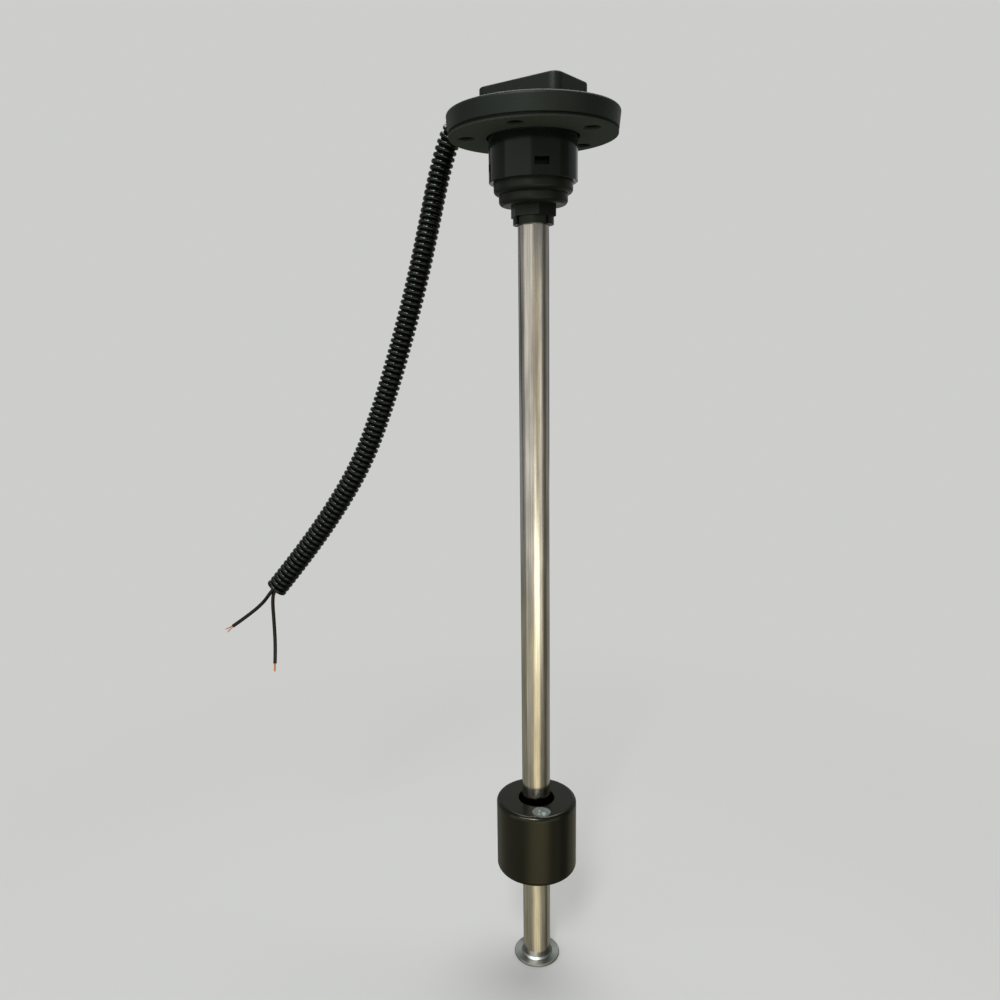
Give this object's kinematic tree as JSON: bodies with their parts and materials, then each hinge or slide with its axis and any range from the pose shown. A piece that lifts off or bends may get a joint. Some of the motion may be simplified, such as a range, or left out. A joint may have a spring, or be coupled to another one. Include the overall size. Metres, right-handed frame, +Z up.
{
  "type": "fuel level sender",
  "caption": "Vertical tank level sender: round bolted flange with a terminal housing, steel stem with a sliding magnet float, and a corrugated conduit with stripped leads.",
  "frame": {"origin": "centre of the bolt circle in the gasket's lower face, which seats on the tank", "axes": "+Z up the stem, out of the tank; +X to the right and +Y to the back of the picture's view"},
  "size_m": [0.1831, 0.073, 0.3958],
  "materials": {
    "head_plastic": "satin",
    "seal_rubber": "matte",
    "stem_steel": "polished",
    "float_rubber": "satin",
    "plug_resin": "gloss",
    "magnet_ferrite": "matte",
    "board_laminate": "satin",
    "potting_resin": "gloss",
    "reed_glass": "gloss",
    "resistor_ceramic": "satin",
    "conduit_plastic": "satin",
    "lead_insulation": "satin",
    "bare_copper": "bare copper"
  },
  "bodies": {
    "sender": {"head_housing": "head_plastic", "tube_holder": "head_plastic", "gland_nut": "head_plastic", "flange_gasket": "seal_rubber", "holder_seal": "seal_rubber", "gland_seal": "seal_rubber", "stem_tube": "stem_steel", "foot_plug": "stem_steel", "sensor_board": "board_laminate", "head_resin": "potting_resin", "reed_switch_01": "reed_glass", "reed_switch_02": "reed_glass", "reed_switch_03": "reed_glass", "reed_switch_04": "reed_glass", "reed_switch_05": "reed_glass", "reed_switch_06": "reed_glass", "reed_switch_07": "reed_glass", "reed_switch_08": "reed_glass", "reed_switch_09": "reed_glass", "reed_switch_10": "reed_glass", "reed_switch_11": "reed_glass", "reed_switch_12": "reed_glass", "reed_switch_13": "reed_glass", "ladder_resistor_01": "resistor_ceramic", "ladder_resistor_02": "resistor_ceramic", "ladder_resistor_03": "resistor_ceramic", "ladder_resistor_04": "resistor_ceramic", "ladder_resistor_05": "resistor_ceramic", "ladder_resistor_06": "resistor_ceramic", "ladder_resistor_07": "resistor_ceramic", "ladder_resistor_08": "resistor_ceramic", "ladder_resistor_09": "resistor_ceramic", "ladder_resistor_10": "resistor_ceramic", "ladder_resistor_11": "resistor_ceramic", "ladder_resistor_12": "resistor_ceramic", "ladder_resistor_13": "resistor_ceramic", "conduit": "conduit_plastic", "lead_1": "lead_insulation", "lead_2": "lead_insulation", "lead_1_copper": "bare_copper", "lead_2_copper": "bare_copper"},
    "float": {"float_body": "float_rubber", "float_magnet_front": "magnet_ferrite", "float_magnet_rear": "magnet_ferrite", "float_seal_front": "plug_resin", "float_seal_rear": "plug_resin"}
  },
  "joints": [
    {"name": "float_slide", "type": "slide", "parent": "sender", "child": "float", "axis": [0, 0, 1], "range_m": [-0.0476, 0.257]}
  ]
}
